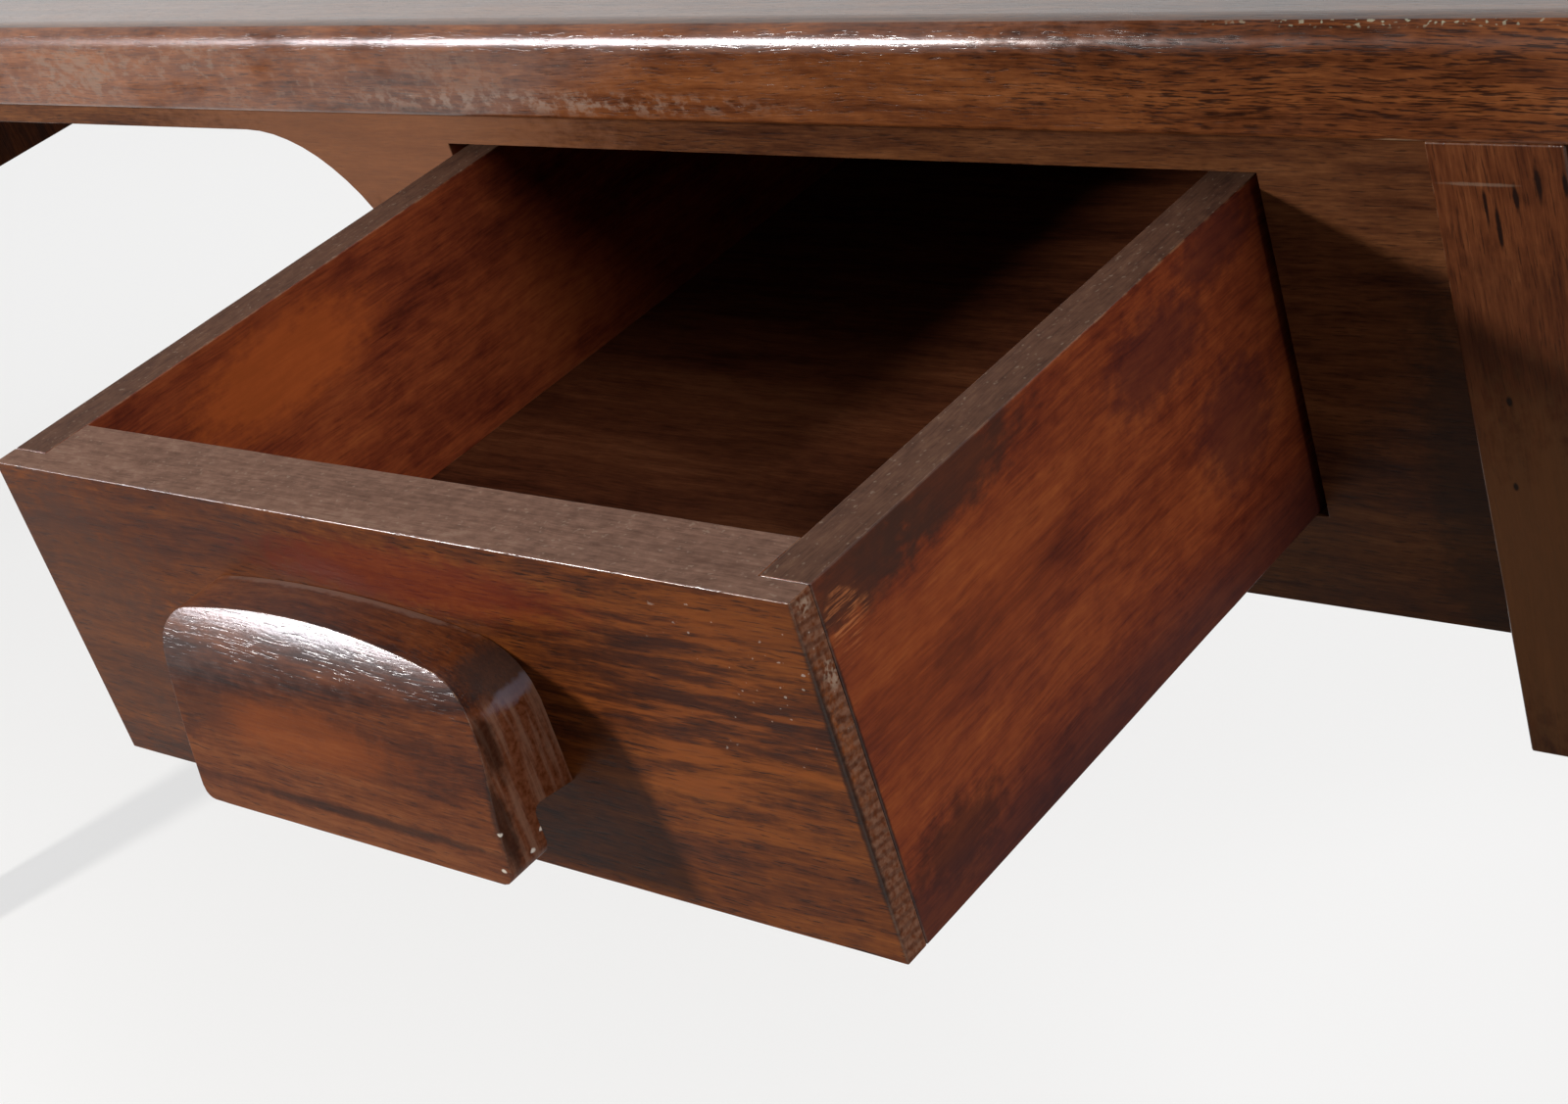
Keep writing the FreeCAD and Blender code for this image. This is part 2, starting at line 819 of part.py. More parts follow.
def main():
    os.makedirs("parts", exist_ok=True)

    bolts, washers, nuts, plugs, bolt_holes = leg_bolts()
    frame_dowels, frame_dowel_holes = apron_dowels()
    housing_dowels, housing_dowel_holes = partition_dowels()
    runner_fixings, runner_holes = runner_screws()
    kicker_fixings, kicker_holes = kicker_screws()
    guide_fixings, guide_holes = guide_pins()
    stop_fixings, stop_holes = stop_screws()
    button_fixings, button_holes = button_screws()
    rail_fixings, rail_holes = kneehole_rail_screws()
    glides, glide_holes = foot_glides()

    boards = top_boards(kicker_holes + button_holes + rail_holes)
    for number, board in enumerate(boards, start=1):
        save("top_board_" + str(number), board)
    save("top_tongues", group(top_tongues()))

    save("front_apron", front_apron(frame_dowel_holes + housing_dowel_holes + rail_holes))
    save("rear_apron", rear_apron(frame_dowel_holes + housing_dowel_holes))
    for name, side in SIDES.items():
        save("end_rail_" + name, end_rail(side, bolt_holes + frame_dowel_holes))
        for end in ("front", "rear"):
            save("leg_" + end + "_" + name, leg(side, end, bolt_holes + glide_holes))
            save("corner_block_" + end + "_" + name, corner_block(side, end))
    save("apron_dowels", group(frame_dowels))
    save("leg_bolts", group(bolts))
    save("leg_bolt_washers", group(washers))
    save("leg_bolt_nuts", group(nuts))
    save("leg_bolt_plugs", group(plugs))
    save("foot_glides", group(glides))
    save("top_buttons", group(top_buttons(button_holes)))
    save("button_screws", group(button_fixings))
    save("kneehole_rail_screws", group(rail_fixings))

    for name in SIDES:
        side_holes = housing_dowel_holes + runner_holes + guide_holes
        save("partition_" + name, partition(name, side_holes))
        runner = strip(
            name,
            runner_width,
            rear_apron_inner,
            runner_bottom,
            opening_bottom,
            runner_holes + stop_holes,
        )
        save("drawer_runner_" + name, runner)
        guide = strip(name, guide_thickness(), stop_front, opening_bottom, guide_top, guide_holes)
        save("drawer_guide_" + name, guide)
        kicker = strip(
            name, kicker_width, rear_apron_inner, kicker_bottom, underside, kicker_holes
        )
        save("drawer_kicker_" + name, kicker)
        save("drawer_stop_" + name, drawer_stop(name, stop_holes))
    save("partition_dowels", group(housing_dowels))
    save("runner_screws", group(runner_fixings))
    save("kicker_screws", group(kicker_fixings))
    save("guide_pins", group(guide_fixings))
    save("stop_screws", group(stop_fixings))

    corner_fixings, corner_holes = corner_dowels()
    pin_fixings, pin_holes = back_pins()
    bottom_fixings, bottom_holes = bottom_screws()
    pull_fixings, pull_holes = pull_screws()
    save("drawer_front", drawer_front(corner_holes + pull_holes))
    for name in SIDES:
        save("drawer_side_" + name, drawer_side(name, corner_holes + pin_holes))
    save("drawer_back", drawer_back(pin_holes + bottom_holes))
    save("drawer_bottom", drawer_bottom_panel(bottom_holes))
    save("drawer_pull", drawer_pull(pull_holes))
    save("drawer_corner_dowels", group(corner_fixings))
    save("drawer_back_pins", group(pin_fixings))
    save("drawer_bottom_screws", group(bottom_fixings))
    save("pull_screws", group(pull_fixings))


main()
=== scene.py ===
import math

import bmesh
import bpy
from mathutils import Matrix, Vector, noise


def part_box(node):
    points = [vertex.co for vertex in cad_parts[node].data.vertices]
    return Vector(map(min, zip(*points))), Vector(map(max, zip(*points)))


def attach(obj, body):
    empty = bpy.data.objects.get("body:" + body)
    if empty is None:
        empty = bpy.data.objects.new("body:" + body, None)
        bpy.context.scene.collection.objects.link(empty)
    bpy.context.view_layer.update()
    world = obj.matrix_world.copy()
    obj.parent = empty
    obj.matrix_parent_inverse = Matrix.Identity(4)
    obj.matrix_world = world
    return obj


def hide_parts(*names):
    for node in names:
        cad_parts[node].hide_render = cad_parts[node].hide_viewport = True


# Office desk in dark hardwood, put together as a joiner would: end rails and legs, aprons, the
# drawer's housing, the boarded top, the drawer and its carved pull. Lengths are in metres, and
# the sizes that are named _mm or multiplied by MM are millimetres.
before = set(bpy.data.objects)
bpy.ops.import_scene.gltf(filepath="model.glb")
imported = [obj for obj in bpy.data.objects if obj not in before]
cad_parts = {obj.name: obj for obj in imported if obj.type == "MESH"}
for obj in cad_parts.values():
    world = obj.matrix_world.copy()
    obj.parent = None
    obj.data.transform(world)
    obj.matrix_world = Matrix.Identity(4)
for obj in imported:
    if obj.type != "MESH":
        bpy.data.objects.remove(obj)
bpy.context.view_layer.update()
MM = 0.001


# Studio
# A plain pale floor that runs out to the horizon, a key lamp at the front left, a second lamp
# beside it that only shows in polished faces, a broad softer light from the right that reaches
# into the open drawer, and a weak one from behind the desk.
camera_place = Vector((1.0396, -0.89773, 1.04046))
camera_forward = Vector((-0.64673, 0.59427, -0.47811))
camera_up = Vector((-0.12246, 0.53781, 0.83413))
camera_lens_mm = 61.76
floor_half_width = 14.0
floor_colour = "#EFEFEF"
floor_paint = "#8A8A8A"
floor_lift = 0.80
key_aim = Vector((0.41, -0.51, 0.64))
key_travel = Vector((0.70, 0.63, -0.40))
key_distance = 2.5
key_width = 0.30
key_watts = 66.0
key_colour = "#FFFBF4"
window_travel = Vector((0.76, 0.58, -0.39))
window_width = 0.85
window_watts = 56.0
window_colour = "#F8F2FC"
side_travel = Vector((-0.85, -0.05, -0.50))
side_strength = 2.3
side_spread = math.radians(40)
back_travel = Vector((0.25, -0.80, -0.55))
back_strength = 0.7
back_spread = math.radians(70)
room_strength = 0.08


def linear(code):
    """The linear red, green, blue and alpha of an sRGB hex colour."""
    levels = [int(code[i:i + 2], 16) / 255 for i in (1, 3, 5)]
    return [v / 12.92 if v <= 0.04045 else ((v + 0.055) / 1.055) ** 2.4 for v in levels] + [1.0]


def add(tree, kind, inputs=None, stops=None, **settings):
    """A shader node with its settings, its inputs as values or links, and a ramp's stops."""
    made = tree.nodes.new("ShaderNode" + kind)
    for key, value in settings.items():
        setattr(made, key, value)
    for key, value in (inputs or {}).items():
        if isinstance(value, bpy.types.NodeSocket):
            tree.links.new(value, made.inputs[key])
        else:
            made.inputs[key].default_value = value
    if stops:
        ramp = made.color_ramp
        while len(ramp.elements) < len(stops):
            ramp.elements.new(0.5)
        for element, (place, colour) in zip(ramp.elements, stops):
            element.position = place
            element.color = linear(colour)
    return made


def aim(obj, place, forward, up):
    """Turns a camera or lamp so that it looks along forward."""
    forward = forward.normalized()
    right = forward.cross(up).normalized()
    turned = Matrix((right, right.cross(forward), -forward)).transposed().to_4x4()
    obj.matrix_world = Matrix.Translation(place) @ turned


def studio_camera():
    """The camera, set at the viewing angle over the drawer's right front corner."""
    data = bpy.data.cameras.new("camera")
    data.lens = camera_lens_mm
    data.clip_start = 0.05
    camera = bpy.data.objects.new("camera", data)
    bpy.context.scene.collection.objects.link(camera)
    aim(camera, camera_place, camera_forward, camera_up)
    bpy.context.scene.camera = camera


def round_lamp(name, travel, width, watts, colour):
    """A lamp near enough that its light falls off from the desk's left to its right."""
    data = bpy.data.lights.new(name, "AREA")
    data.shape = "DISK"
    data.size = width
    data.energy = watts
    data.color = linear(colour)[:3]
    lamp = bpy.data.objects.new(name, data)
    bpy.context.scene.collection.objects.link(lamp)
    aim(lamp, key_aim - travel.normalized() * key_distance, travel, Vector((0, 0, 1)))
    lamp.visible_camera = False
    return lamp


def broad_light(name, travel, strength, spread):
    """A soft light from far away."""
    data = bpy.data.lights.new(name, "SUN")
    data.energy = strength
    data.angle = spread
    lamp = bpy.data.objects.new(name, data)
    bpy.context.scene.collection.objects.link(lamp)
    aim(lamp, -travel, travel, Vector((0, 0, 1)))
    return lamp


def seen(tree):
    """One for what the camera, gloss and glass see, nothing for the light that is cast."""
    path = add(tree, "LightPath")
    direct = add(tree, "Math", {0: path.outputs["Is Camera Ray"], 1: path.outputs["Is Glossy Ray"]},
                 operation="MAXIMUM")
    return add(tree, "Math", {0: direct.outputs[0], 1: path.outputs["Is Transmission Ray"]},
               operation="MAXIMUM").outputs[0]


def pale_floor():
    """Matt painted floor: pale to the camera and in gloss, with soft shadows, clear from below."""
    material = bpy.data.materials.new("pale_floor_paint")
    material.use_nodes = True
    tree = material.node_tree
    tree.nodes.clear()
    matt = add(tree, "BsdfDiffuse", {"Color": linear(floor_paint)})
    pale = add(tree, "Emission", {"Color": linear(floor_colour), "Strength": floor_lift})
    lifted = add(tree, "AddShader", {0: matt.outputs[0], 1: pale.outputs[0]})
    above = add(tree, "MixShader", {0: seen(tree), 1: matt.outputs[0], 2: lifted.outputs[0]})
    below = add(tree, "BsdfTransparent")
    surface = add(tree, "MixShader", {0: add(tree, "NewGeometry").outputs["Backfacing"],
                                      1: above.outputs[0], 2: below.outputs[0]})
    add(tree, "OutputMaterial", {"Surface": surface.outputs[0]})
    bm = bmesh.new()
    bmesh.ops.create_grid(bm, x_segments=1, y_segments=1, size=floor_half_width)
    mesh = bpy.data.meshes.new("floor")
    bm.to_mesh(mesh)
    bm.free()
    mesh.materials.append(material)
    floor = bpy.data.objects.new("floor", mesh)
    bpy.context.scene.collection.objects.link(floor)


def room_light():
    """Even light from all round, and the floor's own tone where the room is seen."""
    world = bpy.data.worlds.new("room")
    bpy.context.scene.world = world
    world.use_nodes = True
    tree = world.node_tree
    tree.nodes.clear()
    strength = add(tree, "Mix", {0: seen(tree), 2: room_strength, 3: 1.0})
    light = add(tree, "Background",
                {"Color": linear(floor_colour), "Strength": strength.outputs[0]})
    add(tree, "OutputWorld", {"Surface": light.outputs[0]})


studio_camera()
round_lamp("key_lamp", key_travel, key_width, key_watts, key_colour)
window = round_lamp("window_seen_in_gloss", window_travel, window_width, window_watts,
                    window_colour)
window.visible_diffuse = False
broad_light("side_light", side_travel, side_strength, side_spread)
behind = broad_light("back_light", back_travel, back_strength, back_spread)
behind.visible_glossy = False
pale_floor()
room_light()
bpy.context.scene.view_settings.view_transform = "Standard"


# End rails and legs
# Two deep rails carry the ends of the top, and four raked legs are bolted to their outer faces.
# Brown hardwood, planed and varnished long ago: its grain runs up and down at the front edges,
# the pores show as short dark dashes, and the arrises are rubbed pale.
arris_ease = 0.9 * MM
arris_step = 16 * MM
arris_wander = 22 * MM
shortest_arris = 2.2 * MM
arris_angle = math.radians(35)
quiet_figure = {"bands": 0.34, "figure": 0.24, "fibre": 0.22, "patches": 0.10, "dust": 0.10}


def copied_board(node):
    """A CAD piece's mesh with its doubled points merged and its flat faces made whole."""
    bm = bmesh.new()
    bm.from_mesh(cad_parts[node].data)
    bmesh.ops.remove_doubles(bm, verts=bm.verts, dist=0.01 * MM)
    bmesh.ops.dissolve_limit(bm, angle_limit=math.radians(0.5), verts=bm.verts, edges=bm.edges)
    return bm


def long_arrises(bm):
    """The sharp edges that are long enough to be eased by hand."""
    return [
        edge for edge in bm.edges
        if edge.calc_face_angle(0) > arris_angle and edge.calc_length() > shortest_arris
    ]


def round_arrises(bm, arrises, ease, wear):
    """Rounds arrises over by hand, worn unevenly along them, and marks them for the finish."""
    rounded = bmesh.ops.bevel(bm, geom=arrises, offset=ease, segments=3, profile=0.5,
                              affect="EDGES", clamp_overlap=True, material=-1)
    rounded = set(rounded["faces"])
    marked = bm.verts.layers.float.new("arris")
    bm.normal_update()
    for vert in bm.verts:
        vert[marked] = 1.0 if all(face in rounded for face in vert.link_faces) else 0.0
        if vert[marked]:
            vert.co -= vert.normal * max(0.0, noise.noise(vert.co / arris_wander)) * wear
    for face in bm.faces:
        face.smooth = True


def finished(name, bm, body, node, materials):
    """Makes a mesh a piece that stands for a CAD node and rides on its body."""
    mesh = bpy.data.meshes.new(name)
    bm.to_mesh(mesh)
    bm.free()
    mesh.set_sharp_from_angle(angle=math.radians(40))
    for material in materials:
        mesh.materials.append(material)
    piece = bpy.data.objects.new(name, mesh)
    bpy.context.scene.collection.objects.link(piece)
    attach(piece, body)
    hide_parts(node)
    smooth = piece.modifiers.new("even_normals", "WEIGHTED_NORMAL")
    smooth.keep_sharp = True
    return piece


def eased_board(node, body, material, ease=arris_ease, wear=0.3 * MM, top_material=None):
    """A CAD board with eased arrises, and if asked another finish on its upward faces."""
    bm = copied_board(node)
    cuts = {}
    for edge in long_arrises(bm):
        cuts.setdefault(int(edge.calc_length() / arris_step), []).append(edge)
    for count, edges in sorted(cuts.items()):
        if count:
            bmesh.ops.bisect_edges(bm, edges=edges, cuts=count)
    round_arrises(bm, long_arrises(bm), ease, wear)
    for face in bm.faces:
        if top_material and face.normal.z > 0.9:
            face.material_index = 1
    materials = [material, top_material] if top_material else [material]
    return finished(node + "_board", bm, body, node, materials)


def grain_layers(tree, along, shift):
    """Noises drawn out along the grain, each by its length and width in millimetres."""
    source = add(tree, "TexCoord")
    place = source.outputs["Object"]
    turns = {"X": (0, 0, 0), "Y": (0, 0, math.radians(-90)), "Z": (0, math.radians(90), 0)}
    board = add(tree, "Mapping", {"Vector": place, "Location": shift, "Rotation": turns[along]})
    sway = add(tree, "TexNoise", {"Vector": board.outputs[0], "Scale": 5.0, "Detail": 3.0})
    sway = add(tree, "VectorMath", {0: sway.outputs["Color"], 1: (0.5, 0.5, 0.5)},
               operation="SUBTRACT")
    sway = add(tree, "VectorMath", {0: sway.outputs[0], "Scale": 16 * MM}, operation="SCALE")
    swayed = add(tree, "VectorMath", {0: board.outputs[0], 1: sway.outputs[0]})
    arris = add(tree, "Attribute", attribute_name="arris").outputs["Fac"]
    layers = {"place": place, "arris": arris}
    for name, length_mm, width_mm, detail in (
        ("bands", 260.0, 24.0, 3.0),
        ("stripes", 700.0, 6.0, 3.0),
        ("figure", 46.0, 4.4, 4.0),
        ("fibre", 13.0, 0.9, 3.0),
        ("pores", 10.0, 0.7, 2.0),
        ("patches", 46.0, 22.0, 4.0),
        ("dust", 6.0, 4.0, 5.0),
        ("specks", 2.2, 1.6, 1.0),
    ):
        drawn = add(tree, "VectorMath", {
            0: swayed.outputs[0], 1: (1 / (length_mm * MM),) + (1 / (width_mm * MM),) * 2,
        }, operation="MULTIPLY")
        cloud = add(tree, "TexNoise", {"Vector": drawn.outputs[0], "Scale": 1.0,
                                       "Detail": detail, "Roughness": 0.6})
        layers[name] = cloud.outputs["Fac"]
    rings = add(tree, "TexWave", {"Vector": swayed.outputs[0], "Scale": 90.0, "Distortion": 3.0,
                                  "Detail": 3.0}, wave_type="RINGS", rings_direction="X")
    layers["rings"] = rings.outputs["Fac"]
    facing = add(tree, "SeparateXYZ", {0: source.outputs["Normal"]}).outputs[along]
    facing = add(tree, "Math", {0: facing}, operation="ABSOLUTE").outputs[0]
    layers["end_grain"] = between(tree, facing, 0.8, 0.95)
    return layers


def between(tree, value, low, high, amount=1.0):
    """How far a value has risen from low to high, eased at both ends, times an amount."""
    rise = add(tree, "MapRange", {"Value": value, "From Min": low, "From Max": high,
                                  "To Max": amount}, interpolation_type="SMOOTHSTEP")
    return rise.outputs[0]


def both(tree, first, second):
    """Where two masks meet."""
    return add(tree, "Math", {0: first, 1: second}, operation="MULTIPLY").outputs[0]


def patch(tree, layers, centre_mm, reach_mm, amount=1.0, ragged=0.5):
    """A soft patch on the wood: its amount near its centre, nothing past its ragged reach."""
    away = add(tree, "VectorMath", {0: layers["place"], 1: [v * MM for v in centre_mm]},
               operation="SUBTRACT")
    away = add(tree, "VectorMath", {0: away.outputs[0], 1: [1 / (v * MM) for v in reach_mm]},
               operation="MULTIPLY")
    away = add(tree, "VectorMath", {0: away.outputs[0]}, operation="LENGTH").outputs["Value"]
    rag = add(tree, "Math", {0: layers["dust"], 1: 0.5}, operation="SUBTRACT").outputs[0]
    away = add(tree, "Math", {0: rag, 1: 2 * ragged, 2: away}, operation="MULTIPLY_ADD")
    return between(tree, away.outputs[0], 1.0, 0.4, amount)


def stained(tree, colour, mask, code):
    """A colour with another laid over it where the mask says."""
    return add(tree, "Mix", {0: mask, 6: colour, 7: linear(code)}, data_type="RGBA").outputs[2]


def hardwood(name, along, tones, shift=(0, 0, 0), figure=quiet_figure, gloss=0.45, shine=0.06,
             polish=None, coat_roughness=0.2, pore_amount=0.55, ring_amount=0.4, pitted=0.0,
             arris_colour="#7E5A42", end_colour=None, stains=None):
    """Brown tropical hardwood under old varnish: streaky figure, dark open pores, satin gloss."""
    material = bpy.data.materials.new(name)
    material.use_nodes = True
    tree = material.node_tree
    tree.nodes.clear()
    layers = grain_layers(tree, along, shift)
    tone = 0.0
    for layer, weight in figure.items():
        tone = add(tree, "Math", {0: layers[layer], 1: weight, 2: tone},
                   operation="MULTIPLY_ADD").outputs[0]
    colour = add(tree, "ValToRGB", {"Fac": tone},
                 stops=list(zip((0.40, 0.47, 0.53, 0.61), tones))).outputs[0]
    pore = between(tree, layers["pores"], 0.56, 0.68, pore_amount)
    colour = stained(tree, colour, pore, "#1E0D07")
    sawn = add(tree, "ValToRGB", {"Fac": layers["specks"]},
               stops=((0.30, tones[1]), (0.66, end_colour or tones[2]))).outputs[0]
    sawn = stained(tree, sawn, between(tree, layers["rings"], 0.4, 0.9, ring_amount), tones[0])
    colour = add(tree, "Mix", {0: layers["end_grain"], 6: colour, 7: sawn},
                 data_type="RGBA").outputs[2]
    rubbed = both(tree, layers["arris"], between(tree, layers["dust"], 0.42, 0.62, 0.7))
    colour = stained(tree, colour, rubbed, arris_colour)
    if stains:
        colour = stains(tree, layers, colour)
    dull = add(tree, "MapRange", {"Value": layers["patches"], "From Min": 0.3, "From Max": 0.7,
                                  "To Min": gloss - 0.05, "To Max": gloss + 0.07})
    dull = add(tree, "Mix", {0: layers["arris"], 2: dull.outputs[0], 3: 0.26})
    coat = both(tree, layers["arris"], 0.5)
    if polish:
        coat = add(tree, "Math", {0: coat, 1: polish(tree, layers)}, operation="MAXIMUM").outputs[0]
    height = add(tree, "Math", {0: layers["fibre"], 1: 0.4, 2: layers["figure"]},
                 operation="MULTIPLY_ADD")
    height = add(tree, "Math", {0: layers["dust"], 1: 0.8, 2: height.outputs[0]},
                 operation="MULTIPLY_ADD")
    height = add(tree, "Math", {0: layers["specks"], 1: pitted, 2: height.outputs[0]},
                 operation="MULTIPLY_ADD")
    height = add(tree, "Math", {0: height.outputs[0], 1: pore}, operation="SUBTRACT")
    relief = add(tree, "Bump", {"Height": height.outputs[0], "Strength": 0.45,
                                "Distance": 0.12 * MM})
    shader = add(tree, "BsdfPrincipled", {
        "Base Color": colour, "Roughness": dull.outputs[0], "IOR": 1.5,
        "Specular IOR Level": shine, "Coat Weight": coat, "Coat Roughness": coat_roughness,
        "Coat IOR": 1.5, "Normal": relief.outputs[0], "Coat Normal": relief.outputs[0],
    })
    add(tree, "OutputMaterial", {"Surface": shader.outputs[0]})
    return material


rail_front_mm = -269.5
frame_tones = ("#361A0D", "#552C17", "#693A20", "#7E4B2C")
stile_pits_mm = (
    # along the desk, height, half width, half height
    (699.5, 709.0, 1.4, 9.0), (692.0, 703.5, 1.1, 7.0), (685.4, 694.0, 1.0, 9.0),
    (682.3, 701.0, 0.9, 8.0), (707.5, 709.0, 1.0, 5.0), (679.2, 636.0, 1.4, 2.2),
    (676.7, 605.8, 1.2, 2.0),
)


def stile_marks(tree, layers, colour):
    """Black pits where the grain has torn at the right rail's front and a scribed line, with
    painted light on its lower part and painted shade on the band above it.
    """
    # Painted light: the lower stile is lightened where the drawer's shadow falls across it.
    painted_light_low = patch(tree, layers, (690, rail_front_mm, 570), (70, 12, 95), 0.7)
    colour = stained(tree, colour, painted_light_low, "#8A5C38")
    # Painted shade: the lit band just above the drawer's shadow edge is darkened to even out the
    # stile.
    painted_shade_band = patch(tree, layers, (690, rail_front_mm, 664), (70, 12, 32), 0.35)
    colour = stained(tree, colour, painted_shade_band, "#2E1509")
    for across, height, half_width, half_height in stile_pits_mm:
        pit = patch(tree, layers, (across, rail_front_mm, height),
                    (half_width, 6, half_height), 0.92, 0.5)
        colour = stained(tree, colour, pit, "#0A0403")
    scribed = patch(tree, layers, (681, rail_front_mm, 708), (15, 6, 0.8), 0.3, 0.4)
    return stained(tree, colour, scribed, "#A08A78")


for end, shift, marks in (("left", (0.3, 0.1, 0.2), None), ("right", (0.8, 0.4, 0.6), stile_marks)):
    rail_wood = hardwood("end_rail_hardwood_" + end, "Z", frame_tones, shift, stains=marks)
    eased_board("end_rail_" + end, "desk", rail_wood, wear=0.5 * MM)
    for place in ("front", "rear"):
        leg_wood = hardwood("leg_hardwood_" + place + "_" + end, "Z", frame_tones,
                            (shift[0], shift[1] + 0.5, shift[2] + len(place)))
        eased_board("leg_" + place + "_" + end, "desk", leg_wood, wear=0.5 * MM)


# Leg fixings
# Plain steel bolts run from under wooden plugs through leg and rail to a washer and nut inside,
# and each foot stands on a nailed steel glide. The steel is bright drawn stock, dulled by age.

def aged_steel(name, tone, gloss):
    """Drawn steel with faint draw lines, brown bloom in spots and an uneven shine."""
    material = bpy.data.materials.new(name)
    material.use_nodes = True
    tree = material.node_tree
    tree.nodes.clear()
    place = add(tree, "TexCoord").outputs["Object"]
    cloud = add(tree, "TexNoise", {"Vector": place, "Scale": 1 / (6 * MM), "Detail": 5.0})
    bloom = between(tree, cloud.outputs["Fac"], 0.55, 0.72, 0.6)
    fine = add(tree, "TexNoise", {"Vector": place, "Scale": 1 / (0.8 * MM), "Detail": 2.0})
    shade = add(tree, "MapRange", {"Value": fine.outputs["Fac"], "To Min": 0.75, "To Max": 1.15})
    colour = add(tree, "VectorMath", {0: linear(tone)[:3], "Scale": shade.outputs[0]},
                 operation="SCALE").outputs[0]
    colour = stained(tree, colour, bloom, "#6A4A34")
    rough = add(tree, "MapRange", {"Value": cloud.outputs["Fac"], "From Min": 0.3,
                                   "From Max": 0.7, "To Min": gloss, "To Max": gloss + 0.25})
    relief = add(tree, "Bump", {"Height": fine.outputs["Fac"], "Strength": 0.2,
                                "Distance": 0.05 * MM})
    shader = add(tree, "BsdfPrincipled", {"Base Color": colour, "Metallic": 1.0,
                                          "Roughness": rough.outputs[0],
                                          "Normal": relief.outputs[0]})
    add(tree, "OutputMaterial", {"Surface": shader.outputs[0]})
    return material


def kept(node, material):
    """A CAD piece whose own shape is right takes its finish as it stands."""
    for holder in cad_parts[node].material_slots:
        holder.material = material


fixing_steel = aged_steel("drawn_steel", "#8E8A84", 0.35)
for node in ("leg_bolts", "leg_bolt_washers", "leg_bolt_nuts"):
    kept(node, fixing_steel)
kept("foot_glides", aged_steel("pressed_steel_glides", "#A5A09A", 0.22))
plug_wood = hardwood("plug_hardwood", "X", ("#2E140A", "#4C2613", "#5E331B", "#744227"))
eased_board("leg_bolt_plugs", "desk", plug_wood, ease=0.4 * MM, wear=0.1 * MM)


# Aprons
# The front apron is one board with the arched kneehole and the drawer's opening cut in it, and a
# plain apron closes the back. Both are doweled between the end rails, with their grain along X,
# and three-cornered blocks are glued in behind them.
apron_front_mm = -259.5
apron_tones = ("#34190C", "#512E1A", "#643C22", "#7A4D2E")


def apron_marks(tree, layers, colour):
    """Painted light on the narrow rail beside the kneehole, and a painted shadow of the stile at
    the apron's right end.
    """
    # Painted light: the rail beside the kneehole is lightened as if lit right up under the top's
    # edge.
    marked = patch(tree, layers, (190, apron_front_mm, 705), (170, 14, 60), 0.5)
    colour = stained(tree, colour, marked, "#93644A")
    # Painted shadow: the apron's right end beside the proud stile is darkened as the stile's
    # shadow.
    dark = patch(tree, layers, (656, apron_front_mm, 590), (20, 14, 100), 0.5)
    return stained(tree, colour, dark, "#1B140B")


for node, shift in (("front_apron", (0.1, 0.5, 0.3)), ("rear_apron", (1.7, 0.9, 0.6))):
    apron_wood = hardwood(node + "_hardwood", "X", apron_tones, shift, stains=apron_marks)
    eased_board(node, "desk", apron_wood, wear=0.4 * MM)
block_wood = hardwood("corner_block_hardwood", "Z", ("#4A2C1A", "#6E4A30", "#83593C", "#9A7050"),
                      gloss=0.6)
for place in ("front", "rear"):
    for end in ("left", "right"):
        eased_board("corner_block_" + place + "_" + end, "desk", block_wood,
                    ease=0.5 * MM)
turned_beech = hardwood("turned_beech_dowels", "X", ("#8C6642", "#B08A60", "#C09C72", "#CFAF88"),
                        gloss=0.6, pore_amount=0.2)
for node in ("apron_dowels", "partition_dowels", "drawer_corner_dowels", "top_tongues"):
    kept(node, turned_beech)


# Drawer housing
# Two partitions between the aprons carry the runners, guides, kickers and stops, screwed and
# pinned on. Hardwood again, sanded and left bare where it doesn't show.
housing_wood = hardwood("housing_hardwood", "Y", ("#3A2014", "#5E3B25", "#734C31", "#8A6342"),
                        gloss=0.6)
for part in ("partition", "drawer_runner", "drawer_guide", "drawer_kicker", "drawer_stop"):
    for end in ("left", "right"):
        eased_board(part + "_" + end, "desk", housing_wood, ease=0.5 * MM)
screw_steel = aged_steel("wood_screw_steel", "#7C7872", 0.4)
for node in ("runner_screws", "kicker_screws", "guide_pins", "stop_screws"):
    kept(node, screw_steel)


# Top
# Four boards glued edge to edge with loose tongues, planed level, rounded along the rim and held
# down by wooden buttons. Oiled and varnished: the upper face mirrors the room at a low angle.
rim_front_mm = -270
rim_tones = ("#412110", "#66381E", "#7D4826", "#965C36")
top_tones = (
    ("#34201A", "#4E3324", "#60402C", "#765239"), ("#2E1B14", "#472B1D", "#583725", "#6B4730"),
    ("#3A2419", "#563725", "#69462E", "#7E583C"), ("#311D17", "#4A2F21", "#5C3D2A", "#714E37"),
)
long_figure = {"stripes": 0.34, "fibre": 0.24, "bands": 0.16, "figure": 0.14, "patches": 0.06,
               "dust": 0.06}


